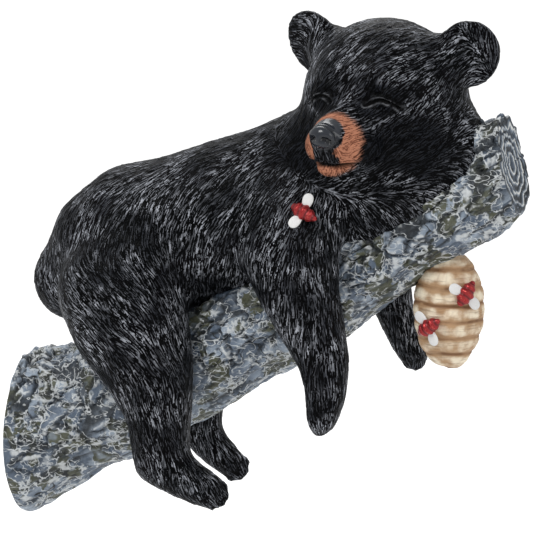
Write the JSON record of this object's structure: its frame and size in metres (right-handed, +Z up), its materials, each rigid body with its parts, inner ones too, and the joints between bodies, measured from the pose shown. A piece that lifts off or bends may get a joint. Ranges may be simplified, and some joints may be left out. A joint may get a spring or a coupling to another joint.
{
  "type": "bear cub figurine",
  "caption": "Resin bear cub asleep over a sloping branch with a hive and bees, made to hang on a tree trunk or wall by the branch's flat cut end.",
  "frame": {"origin": "centre of the branch's flat cut end, which goes against the trunk or wall", "axes": "+X out from the trunk along the branch, +Z up, and the cub's face looks towards -Y"},
  "size_m": [0.2999, 0.1503, 0.3036],
  "materials": {
    "black_fur": "satin black paint over carved fur, dry-brushed pale grey",
    "slate_bark": "matt slate-blue paint with olive patches and whitish dry-brushed edges",
    "straw_hive": "matt straw paint, brown wash in the grooves",
    "red_bee": "metallic dark red paint",
    "white_wing": "satin white paint"
  },
  "bodies": {
    "root": {"bear_cub_on_branch": "black_fur"}
  },
  "joints": []
}
